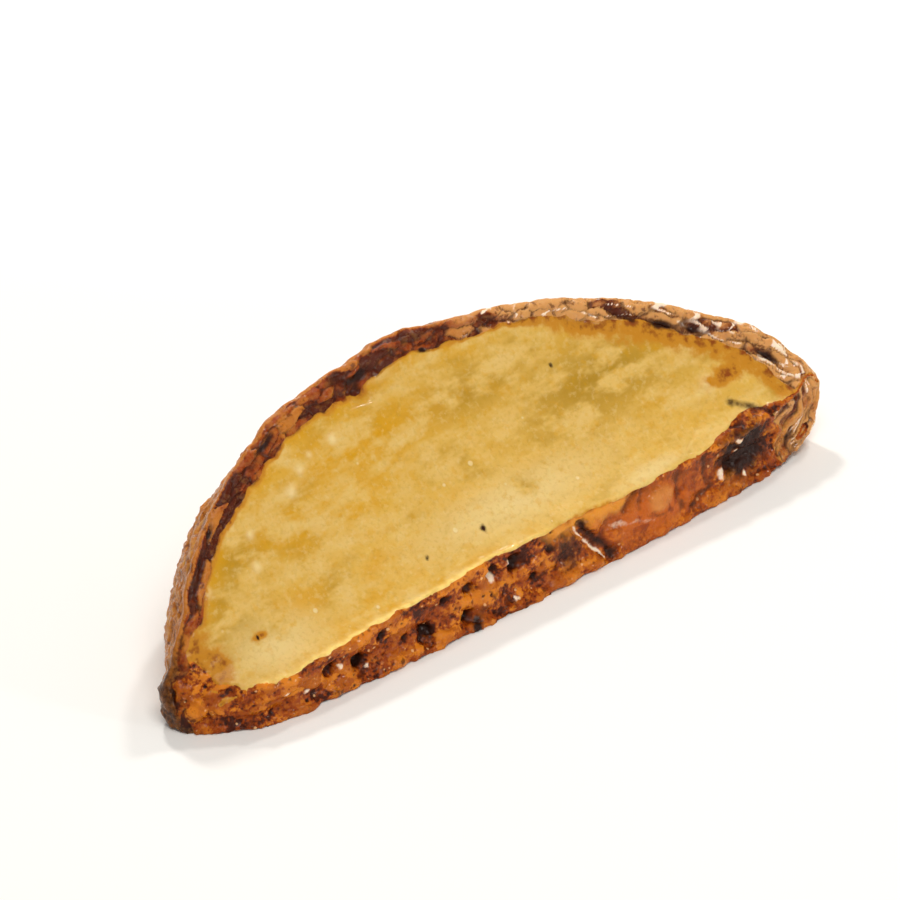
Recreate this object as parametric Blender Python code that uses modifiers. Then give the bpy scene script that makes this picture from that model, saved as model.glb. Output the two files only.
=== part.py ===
"""A baked potato wedge in its skin, lying on one of its two cut faces.

The long axis is X. The wedge lies on cut face B, in the plane Z = 0, with its browned ridge strip
towards -Y and its skin towards +Y. Cut face A slopes up from the strip to the skin. Metres, +Z up,
and the origin lies in the middle of face B.
"""

import itertools
import math

import bmesh
import bpy
import numpy as np
from mathutils import Vector

MM = 0.001

# Driving dimensions of the whole potato and of the three cuts
POTATO_LENGTH = 91.0 * MM
LEFT_SHARE = 0.475
POTATO_DIAMETER = 56.0 * MM
LEFT_BLUNTNESS = 2.2
RIGHT_BLUNTNESS = 1.85
WEDGE_ANGLE = math.radians(44.0)
STRIP_WIDTH = 6.0 * MM
STRIP_WIDTH_LEFT = 2.6 * MM
STRIP_WIDTH_RIGHT = 7.0 * MM
STRIP_TO_ORIGIN = 13.0 * MM
AXIS_BEHIND_STRIP = -1.6 * MM
AXIS_HEIGHT = 4.6 * MM
STRIP_BOW = 1.8 * MM
END_SHARE = 0.30
LEFT_END_ROUNDING = 6.0 * MM
RIGHT_END_ROUNDING = 1.8 * MM
RIGHT_END_LIFT = 2.5 * MM

# Relief, as heights above or below the plain form
POTATO_LUMPS = 0.9 * MM
SKIN_WAVES = 0.40 * MM
SKIN_CREASES = 0.22 * MM
RIM_BEAD = 0.45 * MM
RIM_WIDTH = 1.5 * MM
FACE_DISH = 1.1 * MM
FACE_STREAKS = 0.16 * MM
LIP_HEIGHT = 0.35 * MM
LIP_WIDTH = 1.1 * MM
STRIP_RECESS = 0.55 * MM
STRIP_BUBBLES = 0.8 * MM
REST_SKIN = 0.12 * MM

# Marks on the ridge strip, as positions along the wedge and above the floor
STRIP_PITS = [(-26.4, 3.2), (-22.3, 2.3), (-12.9, 1.9), (-7.3, 1.6), (-6.4, 4.3), (-3.1, 5.0), (0.2, 4.6)]
PIT_RADIUS = 0.95 * MM
PIT_DEPTH = 0.8 * MM
CRACK_FROM = (8.8, 5.6)
CRACK_TO = (12.6, 0.6)
CRACK_WIDTH = 0.45 * MM
CRACK_DEPTH = 0.9 * MM
BLISTER_AT = (20.0, 3.3)
BLISTER_SIZE = (7.5, 2.6)
BLISTER_HEIGHT = 0.8 * MM
HOLLOW_AT = (34.0, 4.0)
HOLLOW_SIZE = (4.0, 2.4)
HOLLOW_DEPTH = 0.7 * MM

# Marks on the rim, as positions along the wedge and up the slope of face A
FLAP_AT = (-1.9, 25.6)
FLAP_SIZE = (4.0, 1.6)
FLAP_HEIGHT = 0.65 * MM
RIM_PIT_AT = (-6.5, 22.4)
RIM_PIT_SIZE = (2.6, 0.9)
RIM_PIT_DEPTH = 1.0 * MM
KNOB_AT = (-35.5, 17.3)
KNOB_SIZE = (1.6, 1.2)
KNOB_HEIGHT = 0.7 * MM

# Mesh density
WORKING_VOXEL = 0.5 * MM
FINAL_TRIANGLES = 9600

COLOUR_FLESH = (0.66, 0.45, 0.13, 1.0)
FLESH_ROUGHNESS = 0.45

LEFT_LENGTH = POTATO_LENGTH * LEFT_SHARE
RIGHT_LENGTH = POTATO_LENGTH - LEFT_LENGTH
RADIUS = POTATO_DIAMETER / 2
STRIP_Y = -STRIP_TO_ORIGIN
AXIS_POINT = Vector((0.0, STRIP_Y + AXIS_BEHIND_STRIP, AXIS_HEIGHT))
FACE_A_POINT = Vector((0.0, STRIP_Y, STRIP_WIDTH))
FACE_A_NORMAL = Vector((0.0, -math.sin(WEDGE_ANGLE), math.cos(WEDGE_ANGLE)))


def clear_scene():
    for obj in list(bpy.data.objects):
        bpy.data.objects.remove(obj, do_unlink=True)


def hashed(cell, seed):
    """A repeatable number from 0 to 1 for each whole-number cell of space."""
    mixed = cell[:, 0] * 73856093 ^ cell[:, 1] * 19349663 ^ cell[:, 2] * 83492791 ^ seed * 40503
    mixed = (mixed ^ (mixed >> 13)) * 1274126177
    return ((mixed ^ (mixed >> 16)) & 0xFFFF) / 65535.0


def noise(points, size, seed):
    """Smooth noise from -1 to 1, with bumps about size across. Size is one length, or one for each axis."""
    scaled = points / np.asarray(size)
    base = np.floor(scaled).astype(np.int64)
    inside = scaled - base
    inside = inside * inside * (3 - 2 * inside)
    total = np.zeros(len(points))
    for corner in itertools.product((0, 1), repeat=3):
        weight = np.prod(np.where(corner, inside, 1 - inside), axis=1)
        total += weight * hashed(base + np.array(corner), seed)
    return 2 * total - 1


def layered_noise(points, size, seed, layers=3):
    """Noise with finer and fainter layers on top of it, each half the size of the one before."""
    size = np.asarray(size, float)
    parts = [noise(points, size / 2**k, seed + k) / 2**k for k in range(layers)]
    return np.sum(parts, axis=0) / sum(0.5**k for k in range(layers))


def cells(points, size, seed):
    """Distances to the nearest and the second nearest of scattered centres, counted in cell sizes."""
    scaled = points / np.asarray(size)
    base = np.floor(scaled).astype(np.int64)
    nearest = np.full(len(points), 9.0)
    second = nearest.copy()
    for step in itertools.product((-1, 0, 1), repeat=3):
        cell = base + np.array(step)
        centre = cell + np.stack([hashed(cell, seed + k) for k in range(3)], axis=1)
        gap = np.linalg.norm(scaled - centre, axis=1)
        second = np.minimum(second, np.maximum(nearest, gap))
        nearest = np.minimum(nearest, gap)
    return nearest, second


def smooth_step(value, low, high):
    share = np.clip((value - low) / (high - low), 0.0, 1.0)
    return share * share * (3 - 2 * share)


def bump(value, centre, width):
    """A bell-shaped bump, 1 at its centre."""
    return np.exp(-(((value - centre) / width) ** 2))


def spot(across, up, centre, size):
    """A bell-shaped spot on a face, with its centre and its two radii in millimetres."""
    return np.exp(-(((across / MM - centre[0]) / size[0]) ** 2) - ((up / MM - centre[1]) / size[1]) ** 2)


def near_line(across, up, start, end, width):
    """1 on the straight line between two places on a face, falling to 0 at about width from it."""
    place = np.stack([across, up], axis=1) / MM
    start = np.array(start)
    line = np.array(end) - start
    share = np.clip((place - start) @ line / (line @ line), 0, 1)
    gap = np.linalg.norm(place - start - share[:, None] * line, axis=1)
    return bump(gap * MM, 0.0, width)


def points_of(mesh):
    found = np.empty(len(mesh.vertices) * 3)
    mesh.vertices.foreach_get("co", found)
    return found.reshape(-1, 3)


def normals_of(mesh):
    found = np.empty(len(mesh.vertices) * 3)
    mesh.vertex_normals.foreach_get("vector", found)
    return found.reshape(-1, 3)


def set_points(mesh, points):
    mesh.vertices.foreach_set("co", points.ravel())
    mesh.update()


def share_along(points):
    """Position along the wedge: -1 at the left end, 0 at the middle and 1 at the right end."""
    x = points[:, 0]
    return x / np.where(x < 0, LEFT_LENGTH, RIGHT_LENGTH)


def end_turn(along):
    """0 along most of the wedge, and up to 1 at its two ends."""
    return np.clip((np.abs(along) - 1 + END_SHARE) / END_SHARE, 0, 1) ** 3


def strip_surface(points):
    """Where the ridge strip lies, as Y: its foot bows forward in the middle, and its ends turn back."""
    along = share_along(points)
    bow = STRIP_BOW * np.clip(1 - along**2, 0, 1) * np.clip(1 - points[:, 2] / STRIP_WIDTH, 0, 1)
    rounding = np.where(along < 0, LEFT_END_ROUNDING, RIGHT_END_ROUNDING)
    return STRIP_Y - bow + rounding * end_turn(along)


def strip_rise(points):
    """How much higher or lower the strip's upper edge lies than in the middle of the wedge."""
    along = share_along(points)
    end_width = np.where(along < 0, STRIP_WIDTH_LEFT, STRIP_WIDTH_RIGHT)
    return (end_width - STRIP_WIDTH) * along**2


def rise_share(points):
    """How far the rise of the strip's upper edge reaches: down to the floor, and back over face A."""
    return np.clip(points[:, 2] / STRIP_WIDTH, 0, 1) * smooth_step(points[:, 1], STRIP_Y + 22 * MM, STRIP_Y)


def tip_lift(points):
    """How far the underside of the right end is turned up from the floor."""
    along = share_along(points)
    return RIGHT_END_LIFT * np.where(along > 0, end_turn(along), 0.0)


def bluntness(along):
    return np.where(along < 0, LEFT_BLUNTNESS, RIGHT_BLUNTNESS)


def depths(points):
    """How deep each point lies under face A, face B, the ridge strip and the skin."""
    under_a = (np.array(FACE_A_POINT) - points) @ np.array(FACE_A_NORMAL)
    under_a += strip_rise(points) * math.cos(WEDGE_ANGLE) * rise_share(points)
    above_b = points[:, 2] - tip_lift(points)
    behind_strip = points[:, 1] - strip_surface(points)
    along = share_along(points)
    power = bluntness(along)
    length = np.where(along < 0, LEFT_LENGTH, RIGHT_LENGTH)
    off_axis = np.linalg.norm(points[:, 1:] - np.array(AXIS_POINT[1:]), axis=1) / RADIUS
    level = np.sqrt(np.abs(along) ** power + off_axis**2)
    slope = np.hypot(power * np.abs(along) ** (power - 1) / length, 2 * off_axis / RADIUS)
    under_skin = (1 - level) * 2 * level / np.maximum(slope, 1e-6)
    return under_a, above_b, behind_strip, under_skin


def make_potato():
    """The whole potato, before it is cut."""
    bpy.ops.mesh.primitive_uv_sphere_add(segments=128, ring_count=96, radius=1.0)
    potato = bpy.context.object
    potato.name = "potato_wedge"
    mesh = potato.data
    unit = points_of(mesh)
    lumps = POTATO_LUMPS * layered_noise(unit, 0.75, seed=11, layers=2)
    along = unit[:, 0]
    thickness = np.sqrt(np.clip(1 - np.abs(along) ** bluntness(along), 0, 1) / np.clip(1 - along**2, 1e-9, 1))
    form = unit * RADIUS
    form[:, 0] = along * np.where(along < 0, LEFT_LENGTH, RIGHT_LENGTH)
    form[:, 1:] *= thickness[:, None]
    form += unit * lumps[:, None]
    set_points(mesh, form + np.array(AXIS_POINT))
    return potato


def cut_off(obj, point, outward):
    """Cuts away all that lies on the outward side of a plane, and closes the cut."""
    work = bmesh.new()
    work.from_mesh(obj.data)
    everything = work.verts[:] + work.edges[:] + work.faces[:]
    cut = bmesh.ops.bisect_plane(work, geom=everything, plane_co=point, plane_no=outward, clear_outer=True)
    rim = [item for item in cut["geom_cut"] if isinstance(item, bmesh.types.BMEdge)]
    bmesh.ops.contextual_create(work, geom=rim)
    bmesh.ops.recalc_face_normals(work, faces=work.faces[:])
    work.to_mesh(obj.data)
    work.free()


def bend_strip(obj):
    """Moves the flat front cut to the strip's bowed surface, and its upper edge to its true height."""
    points = points_of(obj.data)
    points[:, 2] += strip_rise(points) * rise_share(points)
    near = smooth_step(points[:, 1], STRIP_Y + 14 * MM, STRIP_Y)
    points[:, 1] += near * (strip_surface(points) - STRIP_Y)
    points[:, 2] += tip_lift(points) * smooth_step(points[:, 2], STRIP_WIDTH_RIGHT, 0.0)
    set_points(obj.data, points)


def freeze(obj):
    """Replaces the object's mesh by what its modifiers make of it."""
    graph = bpy.context.evaluated_depsgraph_get()
    made = bpy.data.meshes.new_from_object(obj.evaluated_get(graph))
    obj.modifiers.clear()
    obj.data = made


def even_mesh(obj, voxel, smoothing):
    """An even mesh with softly rounded edges."""
    remesh = obj.modifiers.new("Even mesh", "REMESH")
    remesh.mode = "VOXEL"
    remesh.voxel_size = voxel
    soften = obj.modifiers.new("Soft edges", "SMOOTH")
    soften.factor = 0.5
    soften.iterations = smoothing
    freeze(obj)


def skin_relief(points):
    """Waves and shrunken creases of the skin, which run along the wedge."""
    waves = SKIN_WAVES * layered_noise(points, (9 * MM, 6 * MM, 6 * MM), seed=21)
    nearest, second = cells(points, (7 * MM, 2.6 * MM, 2.6 * MM), seed=31)
    creases = -SKIN_CREASES * bump(second - nearest, 0.0, 0.16)
    return waves + creases


def face_relief(points, under_skin, behind_strip):
    """A cut face: dished in the middle, streaked along the wedge, with a lip at the strip."""
    inwards = (1 - np.exp(-under_skin / (5 * MM))) * (1 - np.exp(-behind_strip / (4 * MM)))
    streaks = FACE_STREAKS * layered_noise(points, (22 * MM, 2.8 * MM, 2.8 * MM), seed=41)
    lip = LIP_HEIGHT * bump(behind_strip, 0.5 * MM, LIP_WIDTH)
    return -FACE_DISH * inwards + streaks + lip


def rim_relief(points, under_skin):
    """The crisp bead where a cut face meets the skin, uneven and flaky along its length."""
    uneven = 0.75 + 0.6 * layered_noise(points, 5 * MM, seed=51)
    return RIM_BEAD * uneven * bump(under_skin, 0.35 * MM, RIM_WIDTH)


def rim_marks(points):
    """The loose flap of skin, the burnt pit beside it, and the knob on the rim's left part."""
    along = points[:, 0]
    up_face = (points[:, 1] - STRIP_Y) * math.cos(WEDGE_ANGLE)
    up_face += (points[:, 2] - STRIP_WIDTH) * math.sin(WEDGE_ANGLE)
    flap = FLAP_HEIGHT * spot(along, up_face, FLAP_AT, FLAP_SIZE)
    pit = RIM_PIT_DEPTH * spot(along, up_face, RIM_PIT_AT, RIM_PIT_SIZE)
    knob = KNOB_HEIGHT * spot(along, up_face, KNOB_AT, KNOB_SIZE)
    return flap + knob - pit


def strip_relief(points, from_edge):
    """The browned crust of the ridge strip: bubbled and pitted, cracked across, and blistered."""
    along, up = points[:, 0], points[:, 2]
    recess = -STRIP_RECESS * smooth_step(from_edge, 0.2 * MM, 1.6 * MM)
    blister = spot(along, up, BLISTER_AT, BLISTER_SIZE)
    nearest, second = cells(points, (3.0 * MM, 2.0 * MM, 2.0 * MM), seed=61)
    bubbles = STRIP_BUBBLES * (0.5 - nearest) * smooth_step(from_edge, 0.0, 1.0 * MM) * (1 - blister)
    pit_size = (PIT_RADIUS / MM, PIT_RADIUS / MM)
    pits = sum(spot(along, up, place, pit_size) for place in STRIP_PITS)
    crack = near_line(along, up, CRACK_FROM, CRACK_TO, CRACK_WIDTH)
    hollow = spot(along, up, HOLLOW_AT, HOLLOW_SIZE)
    sunk = PIT_DEPTH * pits + CRACK_DEPTH * crack + HOLLOW_DEPTH * hollow
    return recess + bubbles + BLISTER_HEIGHT * blister - sunk


def add_relief(obj):
    """Moves every point out or in by the relief of the surface that it lies on."""
    points = points_of(obj.data)
    under_a, above_b, behind_strip, under_skin = depths(points)
    edge = 0.45 * MM
    on_skin = smooth_step(np.minimum.reduce([under_a, above_b, behind_strip]) - under_skin, -edge, edge)
    on_strip = smooth_step(np.minimum.reduce([under_a, above_b, under_skin]) - behind_strip, -edge, edge)
    on_face = smooth_step(np.minimum.reduce([above_b, behind_strip, under_skin]) - under_a, -edge, edge)
    on_rest = smooth_step(np.minimum.reduce([under_a, behind_strip, under_skin]) - above_b, -edge, edge)
    from_edge = np.minimum.reduce([under_a, above_b, under_skin])
    height = on_skin * skin_relief(points)
    height += on_face * face_relief(points, under_skin, behind_strip)
    height += on_strip * strip_relief(points, from_edge)
    near_face_a = (1 - on_rest) * (1 - on_strip) * bump(under_a, 0, 1.6 * MM)
    height += near_face_a * (rim_relief(points, under_skin) + rim_marks(points))
    set_points(obj.data, points + normals_of(obj.data) * height[:, None])


def lay_flat(obj, reach):
    """Presses whatever lies within reach of the plane Z = 0 onto it, for a flat face to rest on."""
    points = points_of(obj.data)
    points[:, 2] = np.where(points[:, 2] < reach, 0.0, points[:, 2])
    set_points(obj.data, points)


def thin_out(obj, triangles):
    """Keeps fine facets where the surface is craggy and large ones where it is flat."""
    work = bmesh.new()
    work.from_mesh(obj.data)
    bmesh.ops.triangulate(work, faces=work.faces[:])
    work.to_mesh(obj.data)
    work.free()
    thin = obj.modifiers.new("Fewer facets", "DECIMATE")
    thin.ratio = triangles / len(obj.data.polygons)
    freeze(obj)


def flesh_material():
    material = bpy.data.materials.new("potato_wedge")
    material.use_nodes = True
    shader = material.node_tree.nodes["Principled BSDF"]
    shader.inputs["Base Color"].default_value = COLOUR_FLESH
    shader.inputs["Roughness"].default_value = FLESH_ROUGHNESS
    shader.inputs["Metallic"].default_value = 0.0
    return material


def make_wedge():
    wedge = make_potato()
    cut_off(wedge, FACE_A_POINT, FACE_A_NORMAL)
    cut_off(wedge, Vector((0, 0, 0)), Vector((0, 0, -1)))
    cut_off(wedge, Vector((0, STRIP_Y, 0)), Vector((0, -1, 0)))
    even_mesh(wedge, WORKING_VOXEL, smoothing=2)
    bend_strip(wedge)
    add_relief(wedge)
    lay_flat(wedge, REST_SKIN)
    thin_out(wedge, FINAL_TRIANGLES)
    lay_flat(wedge, REST_SKIN)
    wedge.data.materials.append(flesh_material())
    wedge.data.shade_smooth()
    return wedge


def main():
    clear_scene()
    wedge = make_wedge()
    group = bpy.data.collections.new("potato wedge")
    bpy.context.scene.collection.children.link(group)
    for old in list(wedge.users_collection):
        old.objects.unlink(wedge)
    group.objects.link(wedge)


main()
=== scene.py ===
import math

import bmesh
import bpy
import numpy as np
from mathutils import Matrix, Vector, kdtree, noise


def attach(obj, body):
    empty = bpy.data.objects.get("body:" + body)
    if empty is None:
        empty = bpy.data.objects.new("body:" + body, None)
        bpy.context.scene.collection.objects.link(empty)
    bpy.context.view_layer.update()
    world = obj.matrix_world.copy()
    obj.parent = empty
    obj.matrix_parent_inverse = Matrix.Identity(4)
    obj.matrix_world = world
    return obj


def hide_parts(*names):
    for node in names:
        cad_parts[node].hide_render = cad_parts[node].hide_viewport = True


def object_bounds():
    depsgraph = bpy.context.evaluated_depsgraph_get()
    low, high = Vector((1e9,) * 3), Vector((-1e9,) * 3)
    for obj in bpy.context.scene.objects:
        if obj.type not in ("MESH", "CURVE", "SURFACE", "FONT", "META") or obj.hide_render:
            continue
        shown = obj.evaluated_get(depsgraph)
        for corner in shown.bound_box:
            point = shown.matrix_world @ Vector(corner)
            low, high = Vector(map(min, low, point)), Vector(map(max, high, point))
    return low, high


# The look of a roasted potato wedge: a dense copy of the solid, with the fine relief of its flesh,
# crust and skin, and one procedural material. Lengths are millimetres unless a comment says metres.

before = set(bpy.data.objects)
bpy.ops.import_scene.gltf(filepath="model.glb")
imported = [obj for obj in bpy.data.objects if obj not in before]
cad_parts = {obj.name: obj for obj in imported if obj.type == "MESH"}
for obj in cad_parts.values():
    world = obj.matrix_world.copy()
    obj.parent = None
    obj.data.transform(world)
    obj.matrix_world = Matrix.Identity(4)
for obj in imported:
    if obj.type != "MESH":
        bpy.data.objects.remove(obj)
CAD_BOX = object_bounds()

MM = 0.001

# The solid's own layout
WEDGE_ANGLE = math.radians(44.0)
STRIP_Y = -13.0
STRIP_WIDTH = 6.0
LEFT_WIDTH = 2.6
RIGHT_WIDTH = 7.0
LEFT_END = -43.2
RIGHT_END = 47.8
TOP_NORMAL = np.array((0.0, -math.sin(WEDGE_ANGLE), math.cos(WEDGE_ANGLE)))
AXIS = np.array((0.0, -14.6, 4.6))
RADII = np.array((45.5, 28.0, 28.0))

# Mesh density
VOXEL = 0.22
SMOOTHING_STEPS = 5

# Flesh relief
UNDULATION_HEIGHT = 0.16
DIMPLE_HEIGHT = 0.05
STREAK_HEIGHT = 0.02
GRANULE_HEIGHT = 0.02
CRACK_DEPTH = 0.10
LIP_HEIGHT = 0.34
LIP_WIDTH = 0.40
LIP_SPAN = (-34.0, -6.0)
DROP_HEIGHT = 0.12

# The rim that the skin leaves on the flesh faces: its width at places along the wedge, and its relief
RIM_PLACES = (-43, -39, -35, -20, -6, 3, 18, 30, 38, 44)
RIM_WIDTHS = (0.8, 1.2, 1.9, 2.5, 3.1, 2.5, 1.9, 2.1, 2.8, 4.0)
RIM_RADIUS = 42.0
RIM_FLATTENING = 1.6
RIM_WAVINESS = 0.50
RIM_ROLL = 0.12
PLATE_SIZE = (4.2, 1.0, 4.2)
PLATE_HEIGHT = 0.55
PLATE_GAP = 0.22
RIM_WRINKLES = 0.12
RIM_LUMPS = 0.14
RIM_PIT_DEPTH = 0.35

# Dark marks on the rim, as (along the wedge, in from the skin) and their radii
RIM_PITS = [
    ((-34.6, 0.5), (1.1, 0.5)), ((-32.0, 0.4), (1.0, 0.4)), ((-21.5, 1.0), (2.6, 0.4)),
    ((-6.8, 1.8), (2.4, 0.7)), ((3.4, 2.4), (1.3, 0.3)), ((28.9, 1.9), (0.8, 0.5)),
    ((32.5, 2.2), (1.8, 0.6)), ((35.7, 1.9), (1.0, 0.4)), ((42.5, 2.2), (1.2, 0.5)),
]

# Skin relief
SKIN_FOLDS = 0.26
SKIN_GRAIN = 0.10
SKIN_BLISTERS = 0.30
BEAD_HEIGHT = 0.22
BEAD_WIDTH = 0.9

# Crust relief on the ridge strip
CRUST_UNDULATION = 0.40
CRUST_BUBBLES = 0.55
CRUST_FLAKES = 0.16
CRUST_FIBRES = 0.14
CRUST_GRAIN = 0.14
RIGHT_FURROWS = 0.2
BLISTER_WAVES = 0.15
CRUMB_HEIGHT = 0.2
CRACK_LIP_HEIGHT = 0.35
OVAL_HEIGHT = 0.22
PIT_DEPTH = 0.7
SMALL_PIT_DEPTH = 0.25
STRIP_CRACK_DEPTH = 0.4
CREASE_DEPTH = 0.3

# Marks on the strip, as (along the wedge, up from the floor) and their radii
STRIP_PITS = [
    ((-26.4, 3.2), 0.6), ((-22.3, 2.3), 0.95), ((-19.2, 4.2), 0.5), ((-16.0, 2.6), 0.45),
    ((-12.9, 1.9), 1.05), ((-10.2, 4.6), 0.5), ((-7.3, 1.6), 0.55), ((-6.4, 4.3), 0.75),
    ((-3.1, 5.0), 0.65), ((0.2, 4.6), 0.85), ((2.6, 2.4), 0.45), ((5.2, 4.6), 0.6),
]
CRACK_FROM = (8.8, 5.6)
CRACK_TO = (12.6, 0.6)
SCORCH_AT = (7.6, 3.4)
SCORCH_SIZE = (3.0, 2.4)
BLISTER_AT = (20.5, 3.3)
BLISTER_SIZE = (7.5, 2.8)
OVAL_AT = (21.2, 4.3)
OVAL_SIZE = (2.3, 1.6)
HOLLOW_AT = (34.4, 4.4)
HOLLOW_SIZE = (4.2, 3.4)
TIP_START = 39.0

# Dark creases that frame the blister's panels, a pale streak on it, the amber band above the crack
CREASES = [
    ((15.6, 4.8), (17.9, 6.2)), ((18.2, 4.0), (18.7, 6.3)), ((24.3, 1.8), (24.0, 5.6)),
    ((28.9, 2.6), (28.5, 6.2)), ((25.4, 1.4), (29.2, 2.2)),
]
STREAK = ((13.7, 3.9), (20.1, 2.4))
AMBER = ((6.0, 6.1), (16.0, 6.1))

# Pale crumbs and painted glints on the strip, and their radii: small pale raised bits, most of them painted
# highlights
CRUMBS_AND_GLINTS = [
    ((-32.8, 2.9), 0.35), ((-29.7, 1.9), 0.4), ((-24.9, 2.8), 0.35), ((-21.5, 1.6), 0.3),
    ((-3.1, 4.1), 0.5), ((-0.8, 5.3), 0.45), ((-0.5, 1.0), 0.3), ((31.0, 2.9), 0.5),
    ((33.7, 6.0), 0.4), ((33.8, 4.5), 0.35), ((34.5, 1.4), 0.3),
]

# Patches on the top face, as (along the wedge, up the slope) and their radii
# Pale patches of starchy flesh; the two low on the face, at the lower left and the lower right, are also
# painted sheen
PALE_AND_SHEEN_PATCHES = [((-31.0, 2.8), (6.0, 3.2)), ((21.0, 1.3), (6.0, 1.3)), ((4.0, 5.0), (14.0, 3.0))]
GOLD_PATCHES = [((-10.0, 18.0), (11.0, 3.5)), ((-25.5, 5.5), (3.2, 1.8)), ((-22.0, 13.0), (7.0, 3.0))]
# Olive patches of the flesh; the wide one at the left end and the thin one at (-23.5, 11.2) are painted shade
OLIVE_AND_SHADE_PATCHES = [
    ((-31.0, 13.0), (6.0, 3.0)), ((22.0, 13.0), (12.0, 4.5)), ((6.0, 18.0), (8.0, 2.5)),
    ((-23.5, 11.2), (2.6, 0.5)), ((-36.5, 8.5), (6.0, 7.0)),
]
TOAST_PATCHES = [((36.8, 7.2), (3.0, 1.1)), ((-32.2, 4.3), (0.9, 0.5)), ((-38.0, 3.5), (1.8, 2.4))]
SPECKS = [((-1.4, 3.8), 0.58), ((-9.5, 3.7), 0.44), ((17.2, 16.5), 0.34), ((-32.4, 4.3), 0.30)]
OIL_DROPS = [
    ((-12.6, 19.6), 0.6), ((-16.2, 19.1), 0.4), ((-18.2, 18.1), 0.5), ((-20.3, 16.4), 0.65),
    ((-27.4, 14.2), 0.5), ((-28.4, 11.0), 0.5), ((-35.4, 10.8), 0.6), ((34.0, 7.3), 0.9),
]
SMUDGE = ((35.3, 4.3), (39.0, 1.4))
SCRATCH = ((-8.2, 2.6), (-2.9, 3.7))

# Colours, as seen on screen
FLESH_BASE = (217, 173, 78)
FLESH_PALE = (226, 197, 130)
FLESH_GOLD = (210, 152, 8)
FLESH_OLIVE = (174, 133, 34)
FLESH_LIP_HIGHLIGHT = (252, 222, 130)
FLESH_DROP_GLINT = (246, 228, 176)
FLESH_OCHRE = (196, 132, 32)
FLESH_TOAST = (140, 70, 14)
CRUST_DARK = (70, 22, 1)
CRUST_BROWN = (152, 64, 6)
CRUST_GOLD = (220, 130, 30)
CRUST_CRUMB_GLINT = (240, 186, 128)
CRUST_SMOOTH = (196, 96, 16)
CRUST_AMBER = (226, 148, 50)
CRUST_OVAL = (214, 136, 62)
SKIN_DARK = (84, 27, 2)
SKIN_BROWN = (150, 62, 7)
SKIN_RUST = (188, 113, 38)
SKIN_TAN = (214, 154, 90)
SKIN_GOLD = (218, 156, 74)
GLINT_AND_CRUMB_WHITE = (255, 228, 202)
CHAR_AND_SHADE = (44, 15, 3)
FLOOR = (246, 245, 242)

# How the surface takes light: gloss, oil on it, and the glow of light inside it
IOR = 1.33
SPECULAR_LEVEL = 0.25
OIL_WEIGHT = 0.14
OIL_ROUGHNESS = 0.08
GLOW_WEIGHT = 0.25
GLOW_DEPTH = 1.2
GLOW_REACH = (1.0, 0.55, 0.18)

# Camera, from the photograph: distance and frame width in metres, sensor in millimetres
CAMERA_AZIMUTH = math.radians(-43.0)
CAMERA_ELEVATION = math.radians(31.6)
CAMERA_DISTANCE = 0.90
FRAME_WIDTH = 0.096
SENSOR_WIDTH = 36.0

# Lights, as name, azimuth and elevation in degrees, distance and size in metres, and power in watts
LIGHTS = [
    ("key", -30, 64, 0.60, 0.30, 1.68),
    ("side", 110, 50, 0.55, 0.05, 0.7),
    ("front", 20, 15, 0.50, 0.05, 0.42),
    ("back", 155, 48, 0.50, 0.05, 0.9),
]
LIGHT_COLOUR = (1.0, 0.97, 0.93)
ROOM_COLOUR = (1.0, 0.99, 0.97, 1.0)
ROOM_STRENGTH = 0.32

# Half the side of the floor, in metres
FLOOR_HALF = 1.5


def waves(points, size, seed):
    """Smooth noise from -1 to 1, in bumps of about size millimetres, or of a size for each axis."""
    places = points / np.asarray(size, float) + 31.7 * seed
    return np.array([noise.noise(place) for place in places.tolist()])


def ridges(points, size, seed):
    """Narrow winding ridges, 1 on the crest and falling to 0 between them."""
    return 1 - np.minimum(1, np.abs(waves(points, size, seed)) * 4)


def cells(points, size, seed):
    """Scattered cells: the distances to the nearest and next centre, and a chance number for each cell."""
    places = points / np.asarray(size, float) + 31.7 * seed
    found = [noise.voronoi(place) for place in places.tolist()]
    nearest = np.array([distances[0] for distances, centres in found])
    second = np.array([distances[1] for distances, centres in found])
    chance = np.array([0.5 + 0.5 * noise.noise(centres[0] * 5.3) for distances, centres in found])
    return nearest, second, chance


def step(value, low, high):
    """0 below low, 1 above high, and a smooth rise between. With low above high it falls instead."""
    share = np.clip((value - low) / (high - low), 0.0, 1.0)
    return share * share * (3 - 2 * share)


def bell(value, centre, width):
    """1 at the centre, falling smoothly to 0 over about twice the width."""
    return np.exp(-(((value - centre) / width) ** 2))


def spot(across, up, centre, size):
    """A soft oval spot on a face."""
    return np.exp(-(((across - centre[0]) / size[0]) ** 2) - ((up - centre[1]) / size[1]) ** 2)


def strongest(spots):
    """At each point the greatest of several shares."""
    return np.maximum.reduce(list(spots))


def line(across, up, start, end, width):
    """1 on the straight line between two places on a face, falling to 0 beside it."""
    place = np.stack([across, up], axis=1)
    start = np.array(start)
    along = np.array(end) - start
    share = np.clip((place - start) @ along / (along @ along), 0, 1)
    return bell(np.linalg.norm(place - start - share[:, None] * along, axis=1), 0, width)


def distance_to(points, chosen):
    """The distance from every point to the nearest of the chosen ones."""
    tree = kdtree.KDTree(int(chosen.sum()))
    for index, point in enumerate(points[chosen].tolist()):
        tree.insert(point, index)
    tree.balance()
    return np.array([tree.find(point)[2] for point in points.tolist()])


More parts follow.
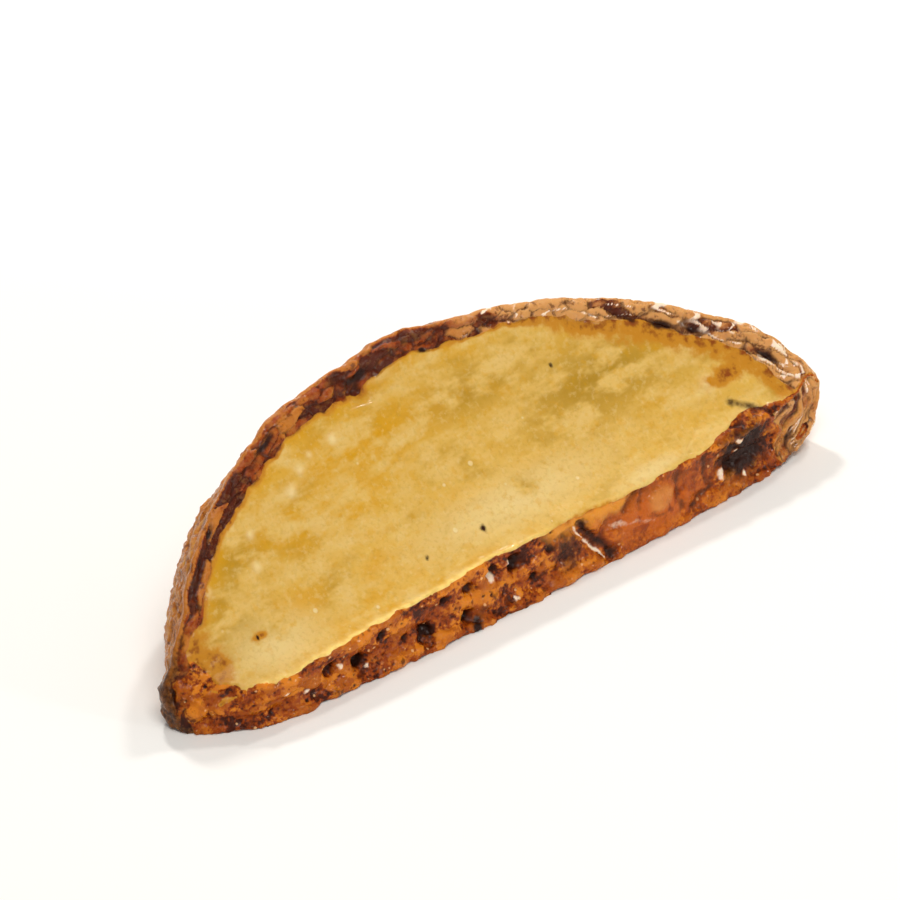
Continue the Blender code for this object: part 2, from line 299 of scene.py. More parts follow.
def dense_copy(node):
    """A dense, even copy of a node's mesh, in which the solid's facets don't show."""
    work = bmesh.new()
    work.from_mesh(node.data)
    bmesh.ops.remove_doubles(work, verts=work.verts[:], dist=1e-6)
    mesh = bpy.data.meshes.new("wedge")
    work.to_mesh(mesh)
    work.free()
    wedge = bpy.data.objects.new("wedge", mesh)
    bpy.context.scene.collection.objects.link(wedge)
    remesh = wedge.modifiers.new("Even mesh", "REMESH")
    remesh.mode = "VOXEL"
    remesh.voxel_size = VOXEL * MM
    soften = wedge.modifiers.new("No facets", "SMOOTH")
    soften.factor = 0.5
    soften.iterations = SMOOTHING_STEPS
    graph = bpy.context.evaluated_depsgraph_get()
    wedge.data = bpy.data.meshes.new_from_object(wedge.evaluated_get(graph))
    wedge.modifiers.clear()
    wedge.data.materials.clear()
    return wedge


class Surface:
    """The wedge's points in millimetres, which face each lies on, and how far it is from the others."""

    def __init__(self, mesh):
        self.mesh = mesh
        points = np.empty(len(mesh.vertices) * 3)
        normals = np.empty(len(mesh.vertices) * 3)
        mesh.vertices.foreach_get("co", points)
        mesh.vertex_normals.foreach_get("vector", normals)
        self.points = points.reshape(-1, 3) / MM
        self.normals = normals.reshape(-1, 3)
        self.sort_faces()
        self.measure()

    def sort_faces(self):
        """Each point belongs to the face whose outward direction its normal agrees with best."""
        x, y, z = self.points.T
        share = x / np.where(x < 0, LEFT_END, RIGHT_END)
        edge_rise = (np.where(x < 0, LEFT_WIDTH, RIGHT_WIDTH) - STRIP_WIDTH) * share**2
        below_top = (np.array((0, STRIP_Y, STRIP_WIDTH)) - self.points) @ TOP_NORMAL
        below_top += edge_rise * math.cos(WEDGE_ANGLE)
        out = (self.points - AXIS) / RADII**2
        out /= np.linalg.norm(out, axis=1)[:, None]
        agreement = np.stack([
            np.einsum("ij,ij->i", self.normals, out),
            self.normals @ TOP_NORMAL,
            np.where(z < 0.8, -self.normals[:, 2], -1),
            np.where(y < STRIP_Y + 5, -self.normals[:, 1] + 0.1, -1),
        ])
        best = agreement.argmax(axis=0)
        # The walls of the strip's pits face every way, but belong to the strip
        in_crags = (y < STRIP_Y + 1.6) & (below_top > 0.5) & (z > 0.3) & (np.abs(share) < 0.9)
        best[in_crags] = 3
        self.on_skin, self.on_top, self.on_under, self.on_strip = (best == k for k in range(4))

    def measure(self):
        """How far each point is from every face, and where it lies along, up the slope and round the rim."""
        self.to_skin = distance_to(self.points, self.on_skin)
        self.to_top = distance_to(self.points, self.on_top)
        self.to_under = distance_to(self.points, self.on_under)
        self.to_strip = distance_to(self.points, self.on_strip)
        self.to_flesh = np.minimum.reduce([self.to_top, self.to_under, self.to_strip])
        self.along = self.points[:, 0]
        self.height = self.points[:, 2]
        level = (self.points[:, 1] - STRIP_Y) * math.cos(WEDGE_ANGLE)
        self.up_top = level + (self.height - STRIP_WIDTH) * math.sin(WEDGE_ANGLE)
        turn = np.arctan2(RIM_FLATTENING * (self.points[:, 1] - STRIP_Y), self.along)
        self.unrolled = np.stack([RIM_RADIUS * turn, self.to_skin, 0.3 * self.height], axis=1)

    def store(self, name, values):
        """Keeps a number for each point, which the material reads by that name."""
        layer = self.mesh.attributes.new(name, "FLOAT", "POINT")
        layer.data.foreach_set("value", np.asarray(values, np.float32))


def skin_share(surface):
    """1 on the skin and on the rim that it leaves on the flesh faces, with a ragged edge."""
    points, along = surface.points, surface.along
    width = np.interp(along, RIM_PLACES, RIM_WIDTHS)
    width += RIM_WAVINESS * (waves(points, 6.0, 1) + 0.8 * waves(points, 1.7, 2))
    width = np.maximum(np.where(surface.on_under, 0.7, 1.0) * width, 0.35)
    rim = step(surface.to_skin, width + 0.15, width - 0.15) * step(surface.to_strip, 0.1, 0.9)
    tip = step(along + 1.5 * waves(points, 2.5, 4), TIP_START, TIP_START + 1.5)
    left_corner = step(along + 1.0 * waves(points, 2.5, 5), -41.2, -42.2)
    on_strip = np.maximum(tip, left_corner)
    return np.where(surface.on_skin, 1.0, np.where(surface.on_strip, on_strip, rim)), width


def crust_share(surface):
    """1 on the ridge strip, with an uneven upper edge that climbs towards the burnt hollow."""
    reach = 0.28 + 0.3 * waves(surface.points, 2.0, 3) + 1.6 * bell(surface.along, 36, 4.5)
    reach += 2.2 * step(surface.along + waves(surface.points, 2.0, 6), -38.5, -41.5)
    reach = np.where(surface.on_under, 1.5, reach)
    return np.where(surface.on_strip, 1.0, step(surface.to_strip, reach + 0.15, reach - 0.15))


def flesh_lip(surface):
    """The thin raised lip over the strip's upper edge, from 0 to 1, which the material also paints bright as
    a painted highlight.
    """
    start = step(surface.along, LIP_SPAN[0] - 3, LIP_SPAN[0] + 3)
    span = start * step(surface.along, LIP_SPAN[1] + 16, LIP_SPAN[1])
    return bell(surface.to_strip, 0.3, LIP_WIDTH) * (0.25 + 0.75 * span) * np.where(surface.on_top, 1, 0)


def flesh_relief(surface):
    """Soft waves, dimples and granules of the flesh, with a few fine cracks that run along it."""
    slanted = surface.points.copy()
    slanted[:, 2] -= 0.12 * surface.along
    broad = UNDULATION_HEIGHT * waves(slanted, (10, 6, 6), 10)
    dimples = DIMPLE_HEIGHT * (waves(slanted, (3.0, 2.0, 2.0), 11) + waves(slanted, (1.6, 1.0, 1.0), 12))
    streaks = STREAK_HEIGHT * waves(slanted, (8, 0.9, 0.9), 16)
    granules = GRANULE_HEIGHT * waves(surface.points, 0.6, 13)
    thin = step(ridges(slanted, (13, 4, 4), 14), 0.90, 1.0) * step(waves(surface.points, 9, 15), 0.2, 0.4)
    return broad + dimples + streaks + granules - CRACK_DEPTH * thin, thin


def rim_plates(surface):
    """The rim's long curled plates of dried skin: a chance tone for each, and 1 in the gaps between."""
    bent = surface.unrolled.copy()
    bent[:, 1] += 0.5 * waves(surface.points, 2.2, 24)
    bent[:, 0] += 1.2 * waves(surface.points, 3.0, 25)
    nearest, second, tone = cells(bent, PLATE_SIZE, 26)
    return tone, step(second - nearest, 0.22, 0.04)


def rim_relief(surface, rim_width, tone, gaps, wrinkles):
    """The rim's rolled edge, in overlapping plates that run along it, wrinkled and lumpy."""
    roll = RIM_ROLL * bell(surface.to_skin / rim_width, 0.35, 0.4)
    plates = PLATE_HEIGHT * (tone - 0.5) - PLATE_GAP * gaps
    across = 0.6 * RIM_WRINKLES * (ridges(surface.unrolled, (1.3, 3.0, 3.0), 22) - 0.4)
    return roll + plates + RIM_WRINKLES * wrinkles + across + RIM_LUMPS * waves(surface.points, 1.1, 23)


def skin_relief(surface):
    """Shrunken folds along the skin, a fine leathery grain and a few blisters."""
    points = surface.points
    warped = points + 1.5 * np.stack([waves(points, 6.0, 31 + k) for k in range(3)], axis=1)
    folds = SKIN_FOLDS * (ridges(warped, (9, 3.4, 3.4), 35) - 0.35)
    fine_folds = 0.6 * SKIN_FOLDS * (ridges(warped, (4, 1.5, 1.5), 36) - 0.35)
    nearest, second, _ = cells(points, (1.3, 1.0, 1.0), 37)
    grain = SKIN_GRAIN * (step(second - nearest, 0.0, 0.35) - 0.5)
    nearest, _, chance = cells(points, 5.5, 38)
    blisters = SKIN_BLISTERS * step(nearest, 0.42, 0.1) * step(chance, 0.55, 0.65)
    return folds + fine_folds + grain + blisters


def strokes(surface, ends, width):
    """Soft lines on the strip, each between two places, of uneven width."""
    shaken = surface.along + 0.6 * waves(surface.points, 1.7, 44)
    up = surface.height + 0.4 * waves(surface.points, 1.7, 50)
    uneven = width * (1 + 0.9 * waves(surface.points, 1.3, 54))
    return strongest(line(shaken, up, start, end, uneven) for start, end in ends)


def crust_relief(surface):
    """Bubbles, flakes and pits, the crack, the smooth blister with its oval, and the burnt hollow."""
    points, along, up = surface.points, surface.along, surface.height
    smooth = np.clip(1.3 * spot(along, up, BLISTER_AT, BLISTER_SIZE), 0, 1)
    rough = 1 - 0.85 * smooth
    relief = CRUST_UNDULATION * waves(points, (3.6, 2.0, 2.0), 40) * rough
    nearest, _, crumb = cells(points, (2.1, 1.3, 1.3), 41)
    relief += CRUST_BUBBLES * (0.45 - nearest) * step(crumb, 0.25, 0.75) * rough
    nearest, _, chance = cells(points, (0.95, 0.7, 0.7), 42)
    relief += CRUST_GRAIN * (0.5 - nearest) * rough
    relief += CRUST_FLAKES * step(waves(points, (2.6, 1.6, 1.6), 47), -0.05, 0.05) * rough
    relief += CRUST_FIBRES * (ridges(points, (5.0, 0.9, 0.9), 48) - 0.4) * rough
    relief += RIGHT_FURROWS * (ridges(points, (1.7, 2.1, 2.1), 46) - 0.4) * step(along, 27, 32)
    relief += BLISTER_WAVES * waves(points, 2.2, 55) * smooth

    ragged = 1 + 0.7 * waves(points, 0.9, 43)
    pits = strongest(spot(along, up, place, (radius, radius)) for place, radius in STRIP_PITS) * ragged
    small_pits = step(nearest, 0.40, 0.1) * step(chance, 0.52, 0.60) * step(along, 10, 6)
    lip = strokes(surface, [(CRACK_FROM, CRACK_TO)], 0.22)
    moved = [tuple(np.add(place, (0.9, 0.1))) for place in (CRACK_FROM, CRACK_TO)]
    crack = strokes(surface, [moved], 0.7)
    creases = strokes(surface, CREASES, 0.55)
    around = np.hypot((along - OVAL_AT[0]) / OVAL_SIZE[0], (up - OVAL_AT[1]) / OVAL_SIZE[1])
    around += 0.2 * waves(points, 1.5, 45)
    oval = step(around, 1.0, 0.6) * (0.8 + 0.5 * waves(points, 1.2, 59))
    ring = 0.5 * bell(around, 1.15, 0.18) * step(waves(points, 2.5, 60), -0.3, 0.2)
    relief += CRACK_LIP_HEIGHT * lip + OVAL_HEIGHT * oval
    relief -= PIT_DEPTH * pits + SMALL_PIT_DEPTH * small_pits
    relief -= STRIP_CRACK_DEPTH * crack + CREASE_DEPTH * creases
    scorch = 0.7 * spot(along, up, SCORCH_AT, SCORCH_SIZE)
    hollow = 1.1 * spot(along, up, HOLLOW_AT, HOLLOW_SIZE) * (1 + 0.5 * waves(points, 1.8, 49))
    char_and_shade = strongest([pits, 0.75 * small_pits, 0.75 * crack, scorch, 0.55 * creases, ring, hollow])
    char_and_shade *= 1 - 0.9 * lip
    return relief, np.clip(char_and_shade, 0, 1), smooth, oval * (1 - creases), crumb, lip


def add_relief(surface):
    """Moves every point by its relief, and stores what the material paints by."""
    points, along = surface.points, surface.along
    skin, rim_width = skin_share(surface)
    crust = crust_share(surface) * (1 - skin)
    flesh = np.clip(1 - skin - crust, 0, 1)
    flesh_height, thin_cracks = flesh_relief(surface)
    lip = flesh_lip(surface)
    drops = on_slope(surface, [(place, (size, size)) for place, size in OIL_DROPS]) * surface.on_top
    crust_height, crust_char, smooth, oval, crumb, crack_lip_highlight = crust_relief(surface)
    bent_along = along + 0.5 * waves(points, 0.8, 57)
    bent_up = surface.height + 0.5 * waves(points, 0.8, 58)
    # Pale crumbs on the strip, raised a little, most of them painted highlights
    crumbs_and_glints = strongest(spot(bent_along, bent_up, place, (size, size)) for place, size in CRUMBS_AND_GLINTS)

    # The rim and the skin
    on_rim = np.where(surface.on_skin, 0, 1)
    tone, gaps = rim_plates(surface)
    past_edge = step(surface.to_flesh, 0.2, 0.9)
    wrinkles = (1 - past_edge) * (ridges(surface.unrolled, (6.0, 1.0, 3.0), 21) - 0.4)
    wrinkles += past_edge * (ridges(points, (2.4, 1.0, 1.0), 63) - 0.55)
    rim_pits = strongest(spot(along, surface.to_skin, *pit) for pit in RIM_PITS) * on_rim
    rim_pits *= 0.85 + 0.6 * waves(points, 1.2, 64)
    rim_height = rim_relief(surface, rim_width, tone, gaps, wrinkles) - RIM_PIT_DEPTH * rim_pits
    skin_height = skin_relief(surface) * step(surface.to_top, 0.0, 2.0)
    skin_height += BEAD_HEIGHT * bell(surface.to_top, 0, BEAD_WIDTH)

    # All of the relief together, with the lower face kept flat on the floor
    relief = flesh * (flesh_height + LIP_HEIGHT * lip + DROP_HEIGHT * drops)
    relief += crust * (crust_height + CRUMB_HEIGHT * crumbs_and_glints)
    relief += skin * np.where(surface.on_skin, skin_height, rim_height)
    on_floor = surface.on_under & (surface.height < 0.4)
    relief = np.where(on_floor, np.minimum(relief, 0.0), relief)
    moved = points + surface.normals * relief[:, None]
    moved[:, 2] = np.maximum(moved[:, 2], 0.0)
    surface.mesh.vertices.foreach_set("co", (moved * MM).ravel())
    surface.mesh.update()

    # What the material paints by
    inner_edge = bell(surface.to_skin, rim_width, 0.25) * step(waves(points, 3.0, 51), -0.2, 0.3)
    rim_char = strongest([rim_pits, 0.5 * gaps * skin, 0.45 * inner_edge]) * on_rim
    # Painted highlights: pinkish-white crests of the wrinkles on the rim's right half and at the tip
    crest_highlight_zone = step(along, 2, 14) * step(surface.to_top, 3.0, 1.0) * step(waves(points, 2.0, 52), -0.4, 0.1)
    tip_crest_highlights = step(ridges(points, (1.8, 1.5, 1.5), 53), 0.55, 0.9) * step(along, 34, 40)
    tip_crest_highlights *= step(waves(points, 0.9, 62), -0.25, 0.15)
    crest_highlights = np.maximum(step(wrinkles, 0.12, 0.46), tip_crest_highlights) * crest_highlight_zone * skin * (1 - rim_char)
    streak = 0.45 * strokes(surface, [STREAK], 0.3)
    surface.store("skin", skin)
    surface.store("crust", crust)
    # The relief, by which the crust and the skin are painted darker in low places as painted shade
    surface.store("relief", np.clip(0.5 + relief, 0, 1))
    surface.store("smooth", smooth)
    surface.store("oval", oval)
    surface.store("amber", strokes(surface, [AMBER], 0.9) * crust)
    surface.store("crumb", crumb)
    surface.store("plate", np.where(surface.on_skin, 0.74, tone - 0.12 + 0.22 * step(along, 0, 14)))
    surface.store("net", 0.15 + 0.6 * step(surface.to_top, 0.5, 2.5))
    # Pinkish-white painted highlights on crests and the crack's lip, with the crumbs and the pale streak
    surface.store("glints_and_pale_bits", strongest([crest_highlights, 0.9 * crack_lip_highlight * crust, crumbs_and_glints * crust, streak * crust]))
    surface.store("lip", lip)
    surface.store("drop", drops)
    surface.store("char_and_shade", char_and_shade_share(surface, crust * crust_char * (1 - crumbs_and_glints), skin, rim_char, thin_cracks))
    surface.store("toast_and_shade", toast_and_shade_share(surface, rim_width))
    surface.store("pale", on_slope(surface, PALE_AND_SHEEN_PATCHES))
    surface.store("gold", gold_share(surface, rim_width))
    surface.store("olive", on_slope(surface, OLIVE_AND_SHADE_PATCHES))
    surface.store("tan", tan_share(surface))


def on_slope(surface, patches):
    """Soft patches on the top face."""
    return strongest(spot(surface.along, surface.up_top, *patch) for patch in patches)


def char_and_shade_share(surface, crust_char, skin, rim_char, thin_cracks):
    """How dark each place is: pits and hollows of the crust, specks of the flesh, marks on the rim, and
    painted shade at the wedge's left end.
    """
    specks = on_slope(surface, [(place, (0.7 * size, 1.1 * size)) for place, size in SPECKS])
    specks *= 1 + waves(surface.points, 0.7, 66)
    smudge = 0.62 * line(surface.along, surface.up_top, *SMUDGE, 0.65 + 0.4 * waves(surface.points, 1.4, 65))
    scratch = 0.3 * line(surface.along, surface.up_top, *SCRATCH, 0.2)
    marks = strongest([specks, smudge, scratch, 0.25 * thin_cracks * (1 - skin)])
    # Painted shade: the wedge's left end is darkened
    left_end_shade = 0.65 * step(surface.along, -38.5, -42.5) * skin
    left_end_shade = np.maximum(left_end_shade, 0.5 * step(surface.along, -40.8, -43))
    return np.clip(strongest([crust_char, marks * surface.on_top, rim_char, left_end_shade]), 0, 1)


def gold_share(surface, rim_width):
    """Where the flesh is deep gold: in patches, over the strip, and inside the rim's left half."""
    inside_rim = bell(surface.to_skin - rim_width, 0.4, 1.4) * step(surface.along, 16, 6)
    over_strip = bell(surface.to_strip, 1.1, 0.6) * step(surface.along, 6, -6)
    return strongest([on_slope(surface, GOLD_PATCHES), 0.8 * inside_rim, 0.9 * over_strip])


def toast_and_shade_share(surface, rim_width):
    """How browned the flesh is: beside the rim, most of all to the right, and in patches; at the left end
    partly browning and partly painted shade.
    """
    beyond = np.clip(surface.to_skin - rim_width, 0, None)
    reach = 0.35 + 1.9 * step(surface.along, 12, 24) + 0.5 * waves(surface.points, 4.0, 61)
    beside_rim = np.exp(-((beyond / np.clip(reach, 0.2, None)) ** 2))
    patches = on_slope(surface, TOAST_PATCHES)
    # Toward the left end the flesh is browned, partly as painted shade
    ends = step(surface.along, -35, -41)
    by_strip = 0.6 * bell(surface.to_strip, 0.0, 0.7) * bell(surface.along, 11, 7)
    return np.clip(strongest([0.85 * beside_rim, patches, ends, by_strip]), 0, 1)


def tan_share(surface):
    """Where the skin is thin and pale: on the rim's right half, and in patches over the back."""
    right_rim = step(surface.along, 2, 18) * step(surface.to_top, 3.5, 0.0)
    patches = step(waves(surface.points, (14, 8, 8), 71), -0.15, 0.35)
    back = patches * step(surface.to_top, 1.5, 4.0) * step(surface.along, -40, -34)
    return np.clip(np.maximum(right_rim, 0.4 * back), 0, 1)


def linear(colour):
    """A colour given as seen on screen, as Blender's shaders take it."""
    parts = [part / 255 for part in colour]
    return [part / 12.92 if part < 0.04045 else ((part + 0.055) / 1.055) ** 2.4 for part in parts] + [1.0]


class Painter:
    """Adds nodes to a material. An input is a number, a colour or another node's output."""

    def __init__(self, name):
        self.material = bpy.data.materials.new(name)
        self.material.use_nodes = True
        self.tree = self.material.node_tree
        self.shader = self.tree.nodes["Principled BSDF"]
        self.place = self.tree.nodes.new("ShaderNodeTexCoord").outputs["Object"]

    def set(self, socket, value):
        if isinstance(value, bpy.types.NodeSocket):
            self.tree.links.new(value, socket)
        else:
            socket.default_value = value

    def attribute(self, name):
        found = self.tree.nodes.new("ShaderNodeAttribute")
        found.attribute_name = name
        return found.outputs["Fac"]

    def stretched(self, stretch):
        mapping = self.tree.nodes.new("ShaderNodeMapping")
        self.set(mapping.inputs["Vector"], self.place)
        self.set(mapping.inputs["Scale"], [1 / part for part in stretch])
        return mapping.outputs["Vector"]

    def grain(self, size, detail=4.0, stretch=(1, 1, 1), roughness=0.55):
        """Noise from 0 to 1 in bumps of about size millimetres."""
        texture = self.tree.nodes.new("ShaderNodeTexNoise")
        self.set(texture.inputs["Vector"], self.stretched(stretch))
        self.set(texture.inputs["Scale"], 1 / (size * MM))
        self.set(texture.inputs["Detail"], detail)
        self.set(texture.inputs["Roughness"], roughness)
        return texture.outputs["Fac"]

    def drops(self, size, radius, share, stretch=(1, 1, 1)):
        """1 in small round spots, in a share of scattered cells of that size."""
        texture = self.tree.nodes.new("ShaderNodeTexVoronoi")
        self.set(texture.inputs["Vector"], self.stretched(stretch))
        self.set(texture.inputs["Scale"], 1 / (size * MM))
        split = self.tree.nodes.new("ShaderNodeSeparateColor")
        self.set(split.inputs["Color"], texture.outputs["Color"])
        present = self.span(split.outputs["Red"], 1 - share, 1.02 - share)
        reach = self.times(split.outputs["Green"], radius / size)
        inside = self.sum("SUBTRACT", reach, texture.outputs["Distance"])
        return self.times(present, self.span(inside, 0.0, 0.4 * radius / size))

    def span(self, value, low, high, first=0.0, last=1.0):
        """Goes smoothly from first to last as value goes from low to high."""
        ranged = self.tree.nodes.new("ShaderNodeMapRange")
        ranged.interpolation_type = "SMOOTHSTEP"
        self.set(ranged.inputs["Value"], value)
        self.set(ranged.inputs["From Min"], low)
        self.set(ranged.inputs["From Max"], high)
        self.set(ranged.inputs["To Min"], first)
        self.set(ranged.inputs["To Max"], last)
        return ranged.outputs["Result"]

    def sum(self, operation, first, second):
        made = self.tree.nodes.new("ShaderNodeMath")
        made.operation = operation
        self.set(made.inputs[0], first)
        self.set(made.inputs[1], second)
        return made.outputs["Value"]

    def times(self, first, second):
        return self.sum("MULTIPLY", first, second)

    def blend(self, share, first, second):
        made = self.tree.nodes.new("ShaderNodeMix")
        made.data_type = "RGBA"
        self.set(made.inputs[0], share)
        self.set(made.inputs[6], linear(first) if isinstance(first, tuple) else first)
        self.set(made.inputs[7], linear(second) if isinstance(second, tuple) else second)
        return made.outputs[2]

    def bump(self, height, strength, distance):
        made = self.tree.nodes.new("ShaderNodeBump")
        self.set(made.inputs["Height"], height)
        self.set(made.inputs["Strength"], strength)
        self.set(made.inputs["Distance"], distance * MM)
        return made.outputs["Normal"]


def flesh_colour(paint, drops):
    """Golden flesh, mottled with olive and cream, with starchy specks, browned beside the rim; painted shade
    in olive patches to the left, painted highlights on the lip and the oil drops, and painted sheen in pale
    patches.
    """
    cloud = paint.grain(5.0, stretch=(1.6, 1, 1))
    mottle = paint.grain(2.2, detail=3.0, stretch=(2.0, 1, 1))
    # Olive tone, including painted shade at the left end
    olive = paint.sum("MAXIMUM", paint.attribute("olive"), paint.span(cloud, 0.54, 0.30, 0.0, 0.7))
    colour = paint.blend(paint.times(olive, paint.span(mottle, 0.62, 0.42)), FLESH_BASE, FLESH_OLIVE)
    gold = paint.sum("MAXIMUM", paint.attribute("gold"), paint.span(cloud, 0.48, 0.74, 0.0, 0.8))
    colour = paint.blend(paint.times(gold, paint.span(mottle, 0.64, 0.42)), colour, FLESH_GOLD)
    pale = paint.times(paint.attribute("pale"), paint.span(cloud, 0.28, 0.48))
    pale = paint.sum("MAXIMUM", pale, paint.span(mottle, 0.36, 0.84, 0.0, 0.6))
    colour = paint.blend(pale, colour, FLESH_PALE)
    colour = paint.blend(paint.span(paint.grain(0.7), 0.50, 0.72, 0.0, 0.35), colour, FLESH_PALE)
    colour = paint.blend(paint.span(paint.grain(1.0), 0.48, 0.30, 0.0, 0.35), colour, FLESH_GOLD)
    colour = paint.blend(paint.span(paint.grain(0.45), 0.52, 0.30, 0.0, 0.22), colour, FLESH_OLIVE)
    # Painted highlight: a bright line along the lip over the strip
    lip_highlight = paint.times(paint.attribute("lip"), paint.span(paint.grain(1.2), 0.36, 0.6, 0.4, 1.0))
    colour = paint.blend(lip_highlight, colour, FLESH_LIP_HIGHLIGHT)
    # Painted highlight: the oil drops are painted cream where they would glint
    colour = paint.blend(paint.times(drops, 0.5), colour, FLESH_DROP_GLINT)
    toast_and_shade = paint.times(paint.attribute("toast_and_shade"), paint.span(paint.grain(1.1), 0.25, 0.75, 0.45, 1.5))
    colour = paint.blend(paint.span(toast_and_shade, 0.1, 0.6), colour, FLESH_OCHRE)
    return paint.blend(paint.span(toast_and_shade, 0.65, 1.2), colour, FLESH_TOAST)


def crust_colour(paint):
    """Brown crust, golden on its bubbles and dark between them, with the smooth orange blister; dark in low
    relief and golden on high relief, partly as painted shade, with painted glints.
    """
    # Painted shade: darker where the relief is low, golden where it is high
    height = paint.sum("ADD", paint.attribute("relief"), paint.span(paint.grain(0.5), 0.2, 0.8, -0.26, 0.26))
    colour = paint.blend(paint.span(height, 0.26, 0.46), CRUST_DARK, CRUST_BROWN)
    crumb = paint.span(paint.attribute("crumb"), 0.35, 0.6, 0.3, 1.0)
    golden = paint.times(paint.span(height, 0.46, 0.66), crumb)
    colour = paint.blend(golden, colour, CRUST_GOLD)
    colour = paint.blend(paint.span(paint.grain(2.2), 0.48, 0.62, 0.0, 0.5), colour, CRUST_BROWN)
    colour = paint.blend(paint.span(paint.grain(1.2), 0.42, 0.30, 0.0, 0.8), colour, CRUST_DARK)
    # Painted glints: small pale dots scattered over the crust, partly crumbs
    colour = paint.blend(paint.times(paint.drops(0.7, 0.24, 0.3), 0.8), colour, CRUST_CRUMB_GLINT)
    mottled = paint.blend(paint.span(paint.grain(1.5), 0.48, 0.62), CRUST_SMOOTH, CRUST_BROWN)
    mottled = paint.blend(paint.attribute("oval"), mottled, CRUST_OVAL)
    colour = paint.blend(paint.attribute("smooth"), colour, mottled)
    return paint.blend(paint.attribute("amber"), colour, CRUST_AMBER)


def skin_colour(paint):
    """Leathery skin, netted with gold and dark on the back; on the rim, plates with a tone of their own;
    painted shade in its low places.
    """
    cloud = paint.span(paint.grain(2.4, stretch=(1.5, 1, 1)), 0.2, 0.8, -0.2, 0.2)
    tone = paint.sum("ADD", paint.attribute("plate"), cloud)
    colour = paint.blend(paint.span(tone, 0.34, 0.48), SKIN_DARK, SKIN_BROWN)
    colour = paint.blend(paint.span(tone, 0.48, 0.64), colour, SKIN_RUST)
    tan = paint.times(paint.attribute("tan"), paint.span(tone, 0.36, 0.56))
    colour = paint.blend(tan, colour, SKIN_TAN)
    net = paint.grain(0.9, roughness=0.62)
    colour = paint.blend(paint.times(paint.attribute("net"), paint.span(net, 0.48, 0.66)), colour, SKIN_GOLD)
    colour = paint.blend(paint.span(net, 0.46, 0.32, 0.0, 0.7), colour, SKIN_DARK)
    # Painted shade: the skin is darkened where its relief is low
    sunk_shade = paint.span(paint.attribute("relief"), 0.24, 0.46, 0.7, 0.0)
    return paint.blend(sunk_shade, colour, SKIN_DARK)


def wedge_material():
    paint = Painter("roasted potato")
    ragged = paint.span(paint.grain(0.6), 0.25, 0.75, -0.12, 0.12)
    crust = paint.span(paint.sum("ADD", paint.attribute("crust"), ragged), 0.35, 0.65)
    skin = paint.span(paint.sum("ADD", paint.attribute("skin"), ragged), 0.35, 0.65)
    # Oil drops on the flesh: raised and glossy in the bump, and painted cream as glints
    drops = paint.sum("MAXIMUM", paint.attribute("drop"), paint.drops(2.2, 0.42, 0.3))
    colour = paint.blend(crust, flesh_colour(paint, drops), crust_colour(paint))
    colour = paint.blend(skin, colour, skin_colour(paint))
    # Painted highlights and pale bits in pinkish white
    glints_and_pale_bits = paint.span(paint.sum("ADD", paint.attribute("glints_and_pale_bits"), ragged), 0.25, 0.8)
    colour = paint.blend(glints_and_pale_bits, colour, GLINT_AND_CRUMB_WHITE)
    char_and_shade = paint.span(paint.sum("ADD", paint.attribute("char_and_shade"), ragged), 0.2, 0.85)
    colour = paint.blend(char_and_shade, colour, CHAR_AND_SHADE)
    shader = paint.shader
    paint.set(shader.inputs["Base Color"], colour)

    browned = paint.sum("MAXIMUM", crust, skin)
    flesh_gloss = paint.span(paint.grain(3.0), 0.35, 0.65, 0.52, 0.38)
    flesh_gloss = paint.sum("SUBTRACT", flesh_gloss, paint.times(drops, 0.25))
    brown_gloss = paint.span(paint.grain(0.9), 0.3, 0.7, 0.13, 0.40)
    flesh_part = paint.times(flesh_gloss, paint.sum("SUBTRACT", 1.0, browned))
    paint.set(shader.inputs["Roughness"], paint.sum("ADD", flesh_part, paint.times(brown_gloss, browned)))

    soft = paint.sum("ADD", paint.grain(0.6, stretch=(1.6, 1, 1)), paint.times(paint.grain(0.2), 0.4))
    soft = paint.sum("ADD", soft, paint.times(drops, 1.5))
    rough = paint.sum("ADD", paint.grain(0.35, roughness=0.7), paint.times(paint.grain(0.9), 1.5))
    made = paint.tree.nodes.new("ShaderNodeMix")
    made.data_type = "VECTOR"
    paint.set(made.inputs[0], browned)
    paint.set(made.inputs[4], paint.bump(soft, 0.4, 0.08))
    paint.set(made.inputs[5], paint.bump(rough, 0.6, 0.16))
    paint.set(shader.inputs["Normal"], made.outputs[1])

    shader.inputs["Metallic"].default_value = 0.0
    shader.inputs["IOR"].default_value = IOR
    shader.inputs["Specular IOR Level"].default_value = SPECULAR_LEVEL
    shader.inputs["Subsurface Weight"].default_value = GLOW_WEIGHT
    shader.inputs["Subsurface Radius"].default_value = GLOW_REACH
    shader.inputs["Subsurface Scale"].default_value = GLOW_DEPTH * MM
    shader.inputs["Coat Weight"].default_value = OIL_WEIGHT
    shader.inputs["Coat Roughness"].default_value = OIL_ROUGHNESS
    return paint.material


def floor_material():
    paint = Painter("pale table")
    tone = paint.blend(paint.grain(40.0), FLOOR, tuple(part - 3 for part in FLOOR))
    paint.set(paint.shader.inputs["Base Color"], tone)
    paint.shader.inputs["Roughness"].default_value = 0.7
    return paint.material


def make_wedge():
    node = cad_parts["potato_wedge"]
    wedge = dense_copy(node)
    add_relief(Surface(wedge.data))
    wedge.data.shade_smooth()
    wedge.data.materials.append(wedge_material())
    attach(wedge, "root")
    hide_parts("potato_wedge")


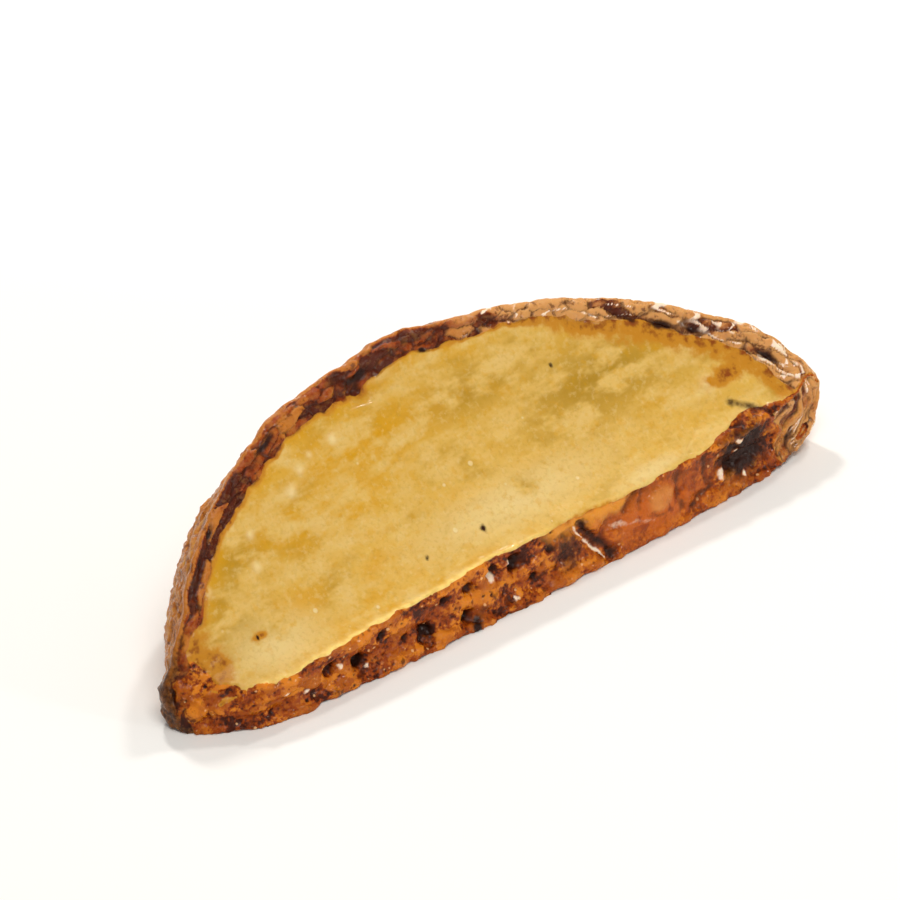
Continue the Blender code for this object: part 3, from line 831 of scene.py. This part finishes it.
def make_floor():
    mesh = bpy.data.meshes.new("floor")
    half = FLOOR_HALF
    corners = [(-half, -half, 0), (half, -half, 0), (half, half, 0), (-half, half, 0)]
    mesh.from_pydata(corners, [], [(0, 1, 2, 3)])
    floor = bpy.data.objects.new("floor", mesh)
    bpy.context.scene.collection.objects.link(floor)
    mesh.materials.append(floor_material())


def add_light(name, azimuth, elevation, distance, size, power):
    """A soft square light, placed round the wedge by angles in degrees and aimed at it."""
    light = bpy.data.lights.new(name, "AREA")
    light.size = size
    light.energy = power
    light.color = LIGHT_COLOUR
    lamp = bpy.data.objects.new(name, light)
    bpy.context.scene.collection.objects.link(lamp)
    towards = direction(math.radians(azimuth), math.radians(elevation))
    lamp.location = towards * distance
    lamp.rotation_euler = (-towards).to_track_quat("-Z", "Y").to_euler()


def direction(azimuth, elevation):
    """Towards a place seen at that azimuth: 0 is in front of the ridge strip, on the -Y side."""
    level = math.cos(elevation)
    return Vector((math.sin(azimuth) * level, -math.cos(azimuth) * level, math.sin(elevation)))


def make_lights():
    for light in LIGHTS:
        add_light(*light)
    world = bpy.data.worlds.new("studio")
    bpy.context.scene.world = world
    world.use_nodes = True
    background = world.node_tree.nodes["Background"]
    background.inputs["Color"].default_value = ROOM_COLOUR
    background.inputs["Strength"].default_value = ROOM_STRENGTH


def make_camera():
    lens = bpy.data.cameras.new("camera")
    lens.sensor_width = SENSOR_WIDTH
    lens.lens = lens.sensor_width * CAMERA_DISTANCE / FRAME_WIDTH
    camera = bpy.data.objects.new("camera", lens)
    bpy.context.scene.collection.objects.link(camera)
    low, high = CAD_BOX
    back = direction(CAMERA_AZIMUTH, CAMERA_ELEVATION)
    camera.location = (low + high) / 2 + back * CAMERA_DISTANCE
    camera.rotation_euler = (-back).to_track_quat("-Z", "Y").to_euler()
    lens.clip_start = 0.05
    lens.clip_end = 20.0
    bpy.context.scene.camera = camera


bpy.context.scene.view_settings.view_transform = "Standard"
make_wedge()
make_floor()
make_lights()
make_camera()
